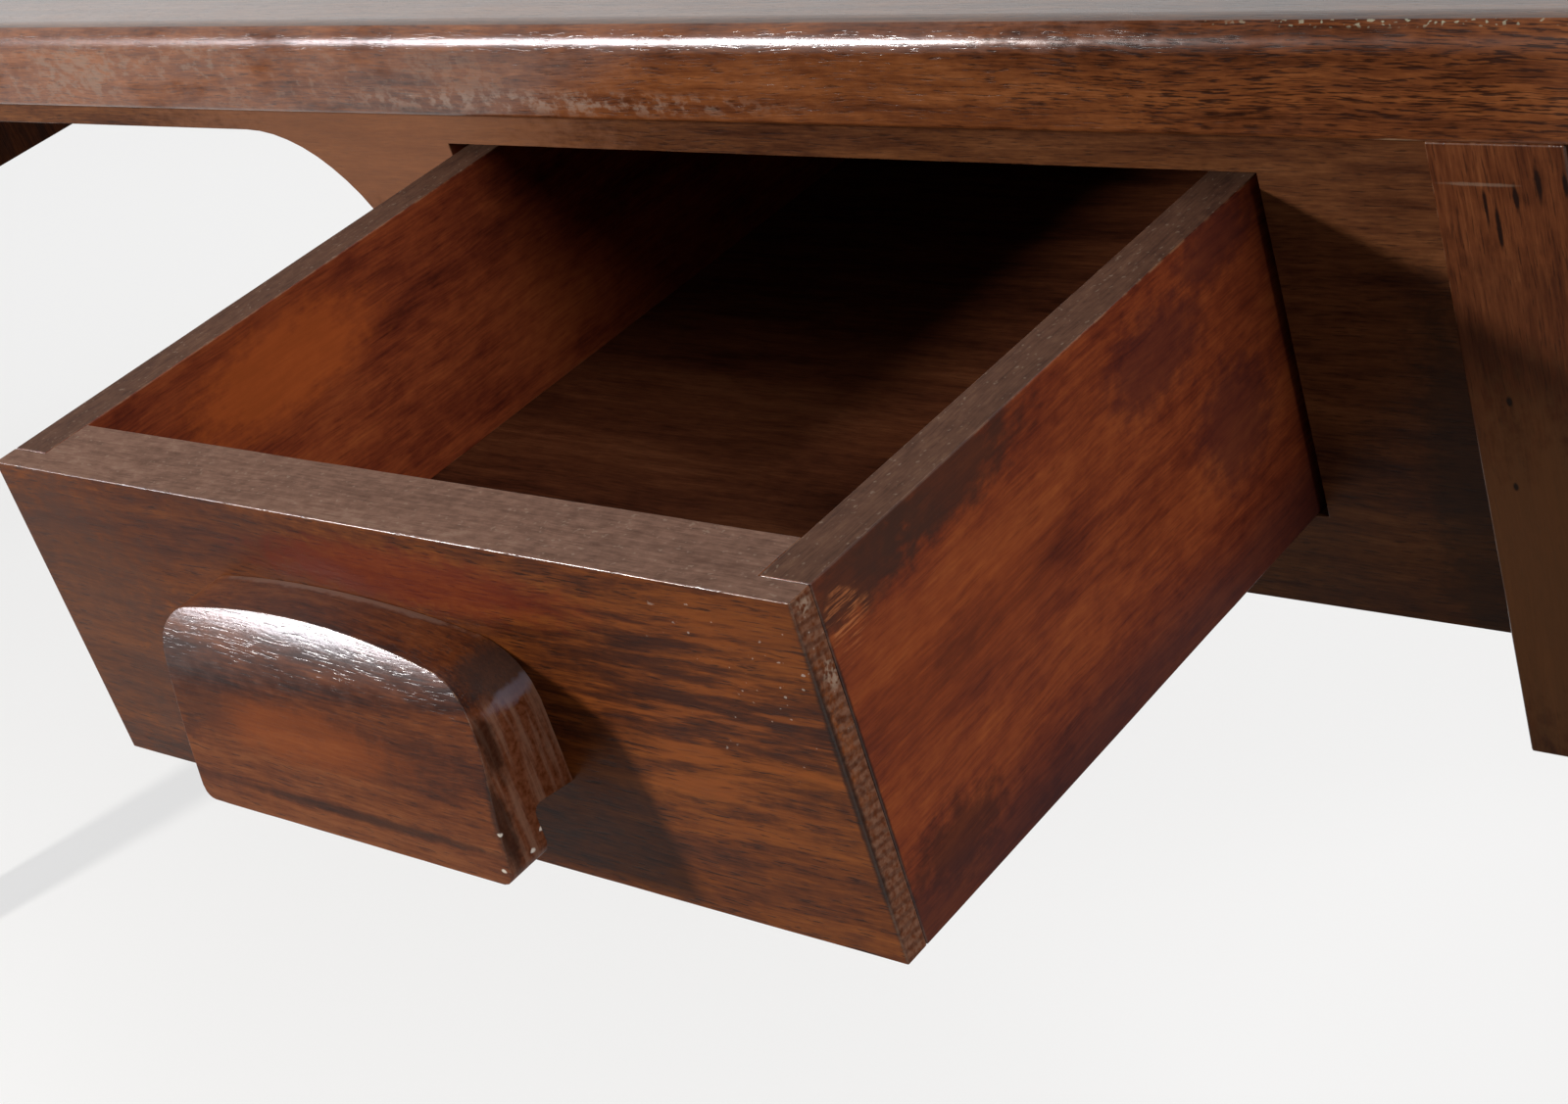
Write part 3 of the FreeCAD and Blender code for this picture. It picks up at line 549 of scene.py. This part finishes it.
def rim_marks(tree, layers, colour):
    """The front edge is rubbed grey towards the left and low down, and dark along its grain."""
    cloudy = add(tree, "Math", {0: layers["patches"], 1: 0.6, 2: layers["dust"]},
                 operation="MULTIPLY_ADD").outputs[0]
    blotch = between(tree, cloudy, 0.80, 0.98)
    rubbed = both(tree, blotch,
                  patch(tree, layers, (60, rim_front_mm, 738), (380, 12, 26), 0.5, 0.9))
    colour = stained(tree, colour, rubbed, "#8A7464")
    scuffed = both(tree, between(tree, layers["dust"], 0.46, 0.64),
                   patch(tree, layers, (310, rim_front_mm, 728), (170, 12, 8), 0.6, 0.9))
    colour = stained(tree, colour, scuffed, "#A08A7C")
    dashes = both(tree, between(tree, layers["pores"], 0.50, 0.60, 0.75),
                  patch(tree, layers, (680, rim_front_mm, 742), (230, 12, 30)))
    colour = stained(tree, colour, dashes, "#24110A")
    sparkle = both(tree, between(tree, layers["specks"], 0.60, 0.68, 0.6),
                   patch(tree, layers, (665, -268, 756.5), (95, 6, 1.8), 1.0, 0.1))
    colour = stained(tree, colour, sparkle, "#B9BAA2")
    chipped = patch(tree, layers, (658, rim_front_mm, 721), (11, 5, 1.3), 0.8, 0.3)
    return stained(tree, colour, chipped, "#C9A684")


def waxed(tree, layers):
    """An old wax polish, a little uneven, and worn away at the right of the front edge."""
    wax = between(tree, layers["patches"], 0.2, 0.5, 0.85)
    marked = patch(tree, layers, (690, rim_front_mm, 745), (230, 40, 60), 0.7)
    return add(tree, "Math", {0: wax, 1: marked}, operation="SUBTRACT", use_clamp=True).outputs[0]


def burnished(tree, layers):
    """The writing surface is polished nearly all over."""
    return between(tree, layers["bands"], 0.0, 0.3)


for number in range(1, 5):
    shift = (0.9 * number, 0.37 * number, 0.0)
    rim_wood = hardwood("rim_hardwood_" + str(number), "X", rim_tones, shift, gloss=0.34,
                        polish=waxed, coat_roughness=0.2, end_colour="#4E2A18",
                        stains=rim_marks if number == 1 else None)
    face_wood = hardwood("top_hardwood_" + str(number), "X", top_tones[number - 1], shift,
                         figure=long_figure, gloss=0.34, shine=0.4, polish=burnished,
                         coat_roughness=0.1)
    eased_board("top_board_" + str(number), "desk", rim_wood, ease=0.5 * MM,
                wear=0.4 * MM, top_material=face_wood)
for node in ("button_screws", "kneehole_rail_screws"):
    kept(node, screw_steel)
eased_board("top_buttons", "desk", block_wood, ease=0.6 * MM)


# Drawer
# A front of dark striped hardwood, rebated over redder sides with dowels through its ends; the
# bottom slides in grooves, and the back is pinned between the sides.
front_face_mm = -495.8
side_face_mm = 597.7
side_front_mm = -486.6


def front_marks(tree, layers, colour):
    """Darker at the far left under a painted grey haze of reflection, a painted red glow of light
    bounced off the pull above it, and striped towards the right end.
    """
    dark = patch(tree, layers, (330, front_face_mm, 676), (150, 12, 44), 0.45)
    colour = stained(tree, colour, dark, "#3A1A10")
    # A darker tone at the far left, with a painted grey haze of reflection over it.
    darker_with_painted_haze = patch(tree, layers, (240, front_face_mm, 640), (90, 12, 90), 0.5)
    colour = stained(tree, colour, darker_with_painted_haze, "#4A342B")
    # Painted light: a red glow above the pull, standing for light bounced off the pull's top.
    painted_bounce_glow = patch(tree, layers, (440, front_face_mm, 684), (95, 12, 14), 0.55)
    colour = stained(tree, colour, painted_bounce_glow, "#6E2412")
    striped = patch(tree, layers, (550, front_face_mm, 655), (80, 12, 55))
    bright = both(tree, striped, between(tree, layers["figure"], 0.50, 0.60, 0.55))
    colour = stained(tree, colour, bright, "#8E4C20")
    dark = both(tree, striped, between(tree, layers["figure"], 0.49, 0.40, 0.55))
    colour = stained(tree, colour, dark, "#35190E")
    seams = patch(tree, layers, (side_face_mm, front_face_mm, 640), (2.2, 2.4, 76), 0.85, 0.3)
    colour = stained(tree, colour, seams, "#1C0E08")
    for away, height, half_width, half_height in ((4.5, 697, 4, 3), (6.5, 674, 3, 6)):
        dusty = both(tree, between(tree, layers["specks"], 0.42, 0.60),
                     patch(tree, layers, (side_face_mm, front_face_mm + away, height),
                           (2, half_width, half_height), 0.7, 0.9))
        colour = stained(tree, colour, dusty, "#9A8270")
    glint = both(tree, between(tree, layers["specks"], 0.735, 0.78, 0.4),
                 patch(tree, layers, (582, front_face_mm, 680), (50, 14, 60)))
    return stained(tree, colour, glint, "#D8CFC6")


def side_marks(tree, layers, colour):
    """Dark stains under the top edge, painted shade towards the back, painted light towards the
    front and on the inner left face, and a dusky lower edge.
    """
    # Painted shade: darker purple-brown towards the back of the outside face, where the end rail,
    # leg and top hold off the side light.
    for along, height, half_width, half_height in ((-325, 676, 36, 20), (-292, 634, 30, 28),
                                                   (-284, 692, 30, 14)):
        painted_rear_shade = patch(tree, layers, (side_face_mm, along, height), (9, half_width, half_height),
                       0.55, 0.5)
        colour = stained(tree, colour, painted_rear_shade, "#3A1B1B")
    # Painted light: lighter towards the front of the outside face, and on the front of the inner
    # left face where the side light reaches in over the right side.
    for face, along, height, amount in ((side_face_mm, -440, 652, 0.15),
                                        (side_face_mm - 342, -385, 676, 0.6)):
        painted_front_light = patch(tree, layers, (face, along, height), (9, 62, 24), amount)
        colour = stained(tree, colour, painted_front_light, "#A04E22")
    for along, height, half_width in ((-468, 693, 40), (-428, 695, 50)):
        dark = patch(tree, layers, (side_face_mm, along, height), (9, half_width, 16), 0.75, 0.6)
        colour = stained(tree, colour, dark, "#36221A")
    low = patch(tree, layers, (side_face_mm, -462, 598), (9, 30, 15), 0.6, 0.8)
    colour = stained(tree, colour, low, "#33190F")
    scratched = both(tree, between(tree, layers["fibre"], 0.44, 0.62),
                     patch(tree, layers, (side_face_mm, -478, 684), (9, 10, 11), 0.7, 0.8))
    colour = stained(tree, colour, scratched, "#B06A40")
    height = add(tree, "SeparateXYZ", {0: layers["place"]}).outputs["Z"]
    ragged = add(tree, "Math", {0: layers["patches"], 1: -30 * MM, 2: height},
                 operation="MULTIPLY_ADD").outputs[0]
    dusky = between(tree, ragged, 592 * MM, 568 * MM, 0.65)
    colour = stained(tree, colour, dusky, "#2E1A1B")
    seam = patch(tree, layers, (side_face_mm, side_front_mm, 640), (4, 1.5, 76), 0.85, 0.3)
    return stained(tree, colour, seam, "#140A06")


def dusted(tree, layers, colour):
    """Pale grit that has settled in the pores of an upward edge."""
    grit = between(tree, layers["specks"], 0.64, 0.76, 0.35)
    return stained(tree, colour, grit, "#9A8676")


mottled = {"bands": 0.26, "figure": 0.16, "fibre": 0.18, "patches": 0.26, "dust": 0.14}
gritty = {"bands": 0.16, "figure": 0.14, "fibre": 0.24, "patches": 0.12, "dust": 0.34}
front_wood = hardwood("drawer_front_hardwood", "X", ("#32160A", "#592C12", "#713C18", "#884C20"),
                      shift=(0.4, 0.6, 0.2), pore_amount=0.8, end_colour="#74503E",
                      stains=front_marks)
side_wood = hardwood("drawer_side_hardwood", "Y", ("#431A12", "#622A18", "#76371D", "#884523"),
                     shift=(0.1, 0.2, 0.5), figure=mottled, pore_amount=0.2, stains=side_marks)
inner_wood = hardwood("drawer_bottom_hardwood", "X", ("#33180E", "#4E2919", "#5E341F", "#704229"),
                      shift=(0.5, 0.1, 0.2), pore_amount=0.35, gloss=0.5)
side_edge_wood = hardwood("drawer_side_edge_hardwood", "Y",
                          ("#3E2820", "#4E3529", "#573C2F", "#644838"), shift=(0.1, 0.2, 0.5),
                          figure=gritty, gloss=0.65, shine=0.08, pore_amount=0.25,
                          stains=dusted)
front_edge_wood = hardwood("drawer_front_edge_hardwood", "X",
                           ("#5C4236", "#6C5043", "#785A4C", "#866A5B"), shift=(0.1, 0.2, 0.5),
                           figure=gritty, gloss=0.65, shine=0.08, pore_amount=0.25,
                           stains=dusted)
eased_board("drawer_front", "drawer", front_wood, ease=0.6 * MM,
            top_material=front_edge_wood)
for node in ("drawer_side_left", "drawer_side_right"):
    eased_board(node, "drawer", side_wood, ease=0.6 * MM,
                top_material=side_edge_wood)
eased_board("drawer_bottom", "drawer", inner_wood, ease=0.3 * MM)
eased_board("drawer_back", "drawer", inner_wood, ease=0.6 * MM)
for node in ("drawer_back_pins", "drawer_bottom_screws", "pull_screws"):
    kept(node, screw_steel)


# Pull
# Carved from one block of red-brown hardwood and rubbed to a polish: a crowned top with rounded
# corners, a front that falls over a full shoulder and catches the light along its brow, and a
# lip that hangs down for the fingers. It is glued and screwed to the drawer's front.
pull_low, pull_high = (Vector(corner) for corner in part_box("drawer_pull"))
pull_middle = (pull_low.x + pull_high.x) / 2
pull_half = (pull_high.x - pull_low.x) / 2
pull_toe_reach = pull_high.y - pull_low.y
pull_top_reach = 16.5 * MM
pull_shoulder_reach = 26.3 * MM
pull_shoulder_height = pull_high.z - 22.0 * MM
pull_shoulder_fullness = 1.64 * MM
pull_fall_fullness = 0.61 * MM
pull_lip_back = pull_toe_reach - 16.7 * MM
pull_base_height = pull_low.z + 14.9 * MM
pull_cove_height = pull_base_height + 2.8 * MM
pull_cove_radius = 3.5 * MM
pull_crown = 6.5 * MM
pull_lean = 2.0 * MM
pull_crown_radius = (pull_half ** 2 + pull_crown ** 2) / (2 * pull_crown)
pull_left_corner = 14.0 * MM
pull_right_corner = 20.0 * MM
pull_bottom_corner = 5.0 * MM
pull_rows = 24
pull_middle_slices = 28
pull_corner_slices = 7
pull_corner_turn = math.radians(71)


def pull_reach(height):
    """How far the carved front stands out at a height: a full shoulder, then an easy fall."""
    if height > pull_shoulder_height:
        share = (pull_high.z - height) / (pull_high.z - pull_shoulder_height)
        near, far, full = pull_top_reach, pull_shoulder_reach, pull_shoulder_fullness
    else:
        share = (pull_shoulder_height - height) / (pull_shoulder_height - pull_low.z)
        near, far, full = pull_shoulder_reach, pull_toe_reach, pull_fall_fullness
    return near + (far - near) * share + 4 * full * share * (1 - share)


def pull_top(across, corner):
    """The outline's height over a point: a crown that turns down at a rounded corner."""
    centre = pull_half - corner
    inner = pull_crown_radius - corner
    if abs(across) < centre * pull_crown_radius / inner:
        rise = math.sqrt(pull_crown_radius ** 2 - across ** 2)
    else:
        rise = math.sqrt(inner ** 2 - centre ** 2)
        rise += math.sqrt(max(0.0, corner ** 2 - (abs(across) - centre) ** 2))
    return pull_high.z - pull_crown_radius + rise - pull_lean * (across / pull_half + 0.1)


def pull_bottom(across):
    """The outline's height under a point: flat, with a small rounded corner."""
    past = max(0.0, abs(across) - pull_half + pull_bottom_corner)
    rise = math.sqrt(max(0.0, pull_bottom_corner ** 2 - past ** 2))
    return pull_low.z + pull_bottom_corner - rise


def carved_pull():
    """The block's section drawn out along X, sliced across, and carved slice by slice."""
    bm = bmesh.new()
    front = bm.verts.layers.float.new("front")
    rows = [pull_high.z + (pull_low.z - pull_high.z) * row / pull_rows
            for row in range(pull_rows + 1)]
    for height in rows:
        vert = bm.verts.new((pull_low.x, pull_high.y - pull_reach(height), height))
        vert[front] = 1.0
    for out, height in ((pull_lip_back, pull_low.z), (pull_lip_back, pull_cove_height),
                        (0.0, pull_base_height), (0.0, pull_high.z)):
        bm.verts.new((pull_low.x, pull_high.y - out, height))
    bm.verts.ensure_lookup_table()
    bm.faces.new(bm.verts)
    bmesh.ops.bevel(bm, geom=[bm.verts[pull_rows + 2]], offset=pull_cove_radius, segments=6,
                    profile=0.5, affect="VERTICES", clamp_overlap=True, material=-1)
    drawn = bmesh.ops.extrude_face_region(bm, geom=bm.faces[:])["geom"]
    bmesh.ops.translate(bm, verts=[part for part in drawn if isinstance(part, bmesh.types.BMVert)],
                        vec=(2 * pull_half, 0, 0))
    left, right = pull_left_corner - pull_half, pull_half - pull_right_corner
    slices = [left + (right - left) * step / pull_middle_slices
              for step in range(pull_middle_slices + 1)]
    for step in range(1, pull_corner_slices + 1):
        turn = math.sin(pull_corner_turn * step / pull_corner_slices)
        slices += [left - pull_left_corner * turn, right + pull_right_corner * turn]
    for across in sorted(slices):
        bmesh.ops.bisect_plane(bm, geom=bm.verts[:] + bm.edges[:] + bm.faces[:], dist=0.001 * MM,
                               plane_co=(pull_middle + across, 0, 0), plane_no=(1, 0, 0))
    front = bm.verts.layers.float["front"]
    for vert in bm.verts:
        across = vert.co.x - pull_middle
        corner = pull_left_corner if across < 0 else pull_right_corner
        low, high = pull_bottom(across), pull_top(across, corner)
        if vert[front] > 0.5:
            share = (vert.co.z - pull_low.z) / (pull_high.z - pull_low.z)
            vert.co.z = low + share * (high - low)
            vert.co.y = pull_high.y - pull_reach(vert.co.z)
        else:
            vert.co.z = min(max(vert.co.z, low), high)
    bm.verts.layers.float.remove(front)
    bmesh.ops.recalc_face_normals(bm, faces=bm.faces)
    arrises = [edge for edge in bm.edges if edge.calc_face_angle(0) > arris_angle]
    round_arrises(bm, arrises, 0.8 * MM, 0.3 * MM)
    return bm


def pull_marks(tree, layers, colour):
    """Orange-brown in the middle of the front, dusky round its rim, with chips at the right and a
    painted dark reflection and sheen on the top right corner.
    """
    warm = patch(tree, layers, (400, -525, 637), (58, 14, 14), 0.5)
    colour = stained(tree, colour, warm, "#8C4517")
    dusk = patch(tree, layers, (345, -520, 648), (30, 20, 26), 0.45)
    colour = stained(tree, colour, dusk, "#2E1A16")
    streak = patch(tree, layers, (420, -527, 613.5), (85, 12, 2.6), 0.75, 0.25)
    colour = stained(tree, colour, streak, "#240F08")
    crown = patch(tree, layers, (400, -501, 676), (90, 11, 9), 0.25)
    colour = stained(tree, colour, crown, "#2A130D")
    dusty = patch(tree, layers, (405, -496.5, 673), (85, 2.4, 8), 0.5, 0.8)
    colour = stained(tree, colour, dusty, "#8C6C5E")
    drawn = add(tree, "VectorMath", {
        0: layers["place"], 1: (1 / (9 * MM), 1 / (2.4 * MM), 1 / (30 * MM)),
    }, operation="MULTIPLY")
    cloud = add(tree, "TexNoise", {"Vector": drawn.outputs[0], "Scale": 1.0, "Detail": 4.0})
    streaks = both(tree, layers["end_grain"], between(tree, cloud.outputs["Fac"], 0.42, 0.64, 0.7))
    colour = stained(tree, colour, streaks, "#7C5A49")
    for near, height, half_height in ((-519, 650, 20), (-525, 622, 24)):
        rim = patch(tree, layers, (482.8, near, height), (3, 5, half_height), 0.7)
        colour = stained(tree, colour, rim, "#1C100C")
    # A darker tone on the polished top right corner, with a painted dark grey reflection over it.
    dark_tone_and_painted_reflection = patch(tree, layers, (478, -503, 663), (16, 17, 12), 0.75, 0.3)
    colour = stained(tree, colour, dark_tone_and_painted_reflection, "#3A2E2A")
    sheen = patch(tree, layers, (481, -503, 655.5), (5, 15, 3.5), 0.45, 0.6)
    colour = stained(tree, colour, sheen, "#7D7480")
    for across, near, height in ((482.5, -527, 621), (482.5, -513, 613), (480, -529, 608.5),
                                 (482.8, -519, 609), (466, -501, 671), (471, -500, 669.5)):
        chip = patch(tree, layers, (across, near, height), (1.3, 1.3, 0.9), 0.95, 0.9)
        colour = stained(tree, colour, chip, "#DCD2C6")
    return colour


def hand_polish(tree, layers):
    """Most gloss along the brow and over the top, where hands have rubbed it."""
    axes = add(tree, "SeparateXYZ", {0: layers["place"]})
    lean = add(tree, "Math", {0: axes.outputs["X"], 1: -0.10, 2: axes.outputs["Z"]},
               operation="MULTIPLY_ADD").outputs[0]
    lean = add(tree, "Math", {0: layers["dust"], 1: 14 * MM, 2: lean},
               operation="MULTIPLY_ADD").outputs[0]
    return between(tree, lean, 616 * MM, 634 * MM, 0.58)


pull_wood = hardwood("pull_hardwood", "X", ("#2E130A", "#502611", "#683619", "#7E4826"),
                     shift=(0.2, 0.2, 0.9), gloss=0.38, polish=hand_polish, coat_roughness=0.18,
                     pitted=0.6, ring_amount=0.0, end_colour="#6A3D28", stains=pull_marks)
finished("drawer_pull_carving", carved_pull(), "drawer", "drawer_pull", [pull_wood])
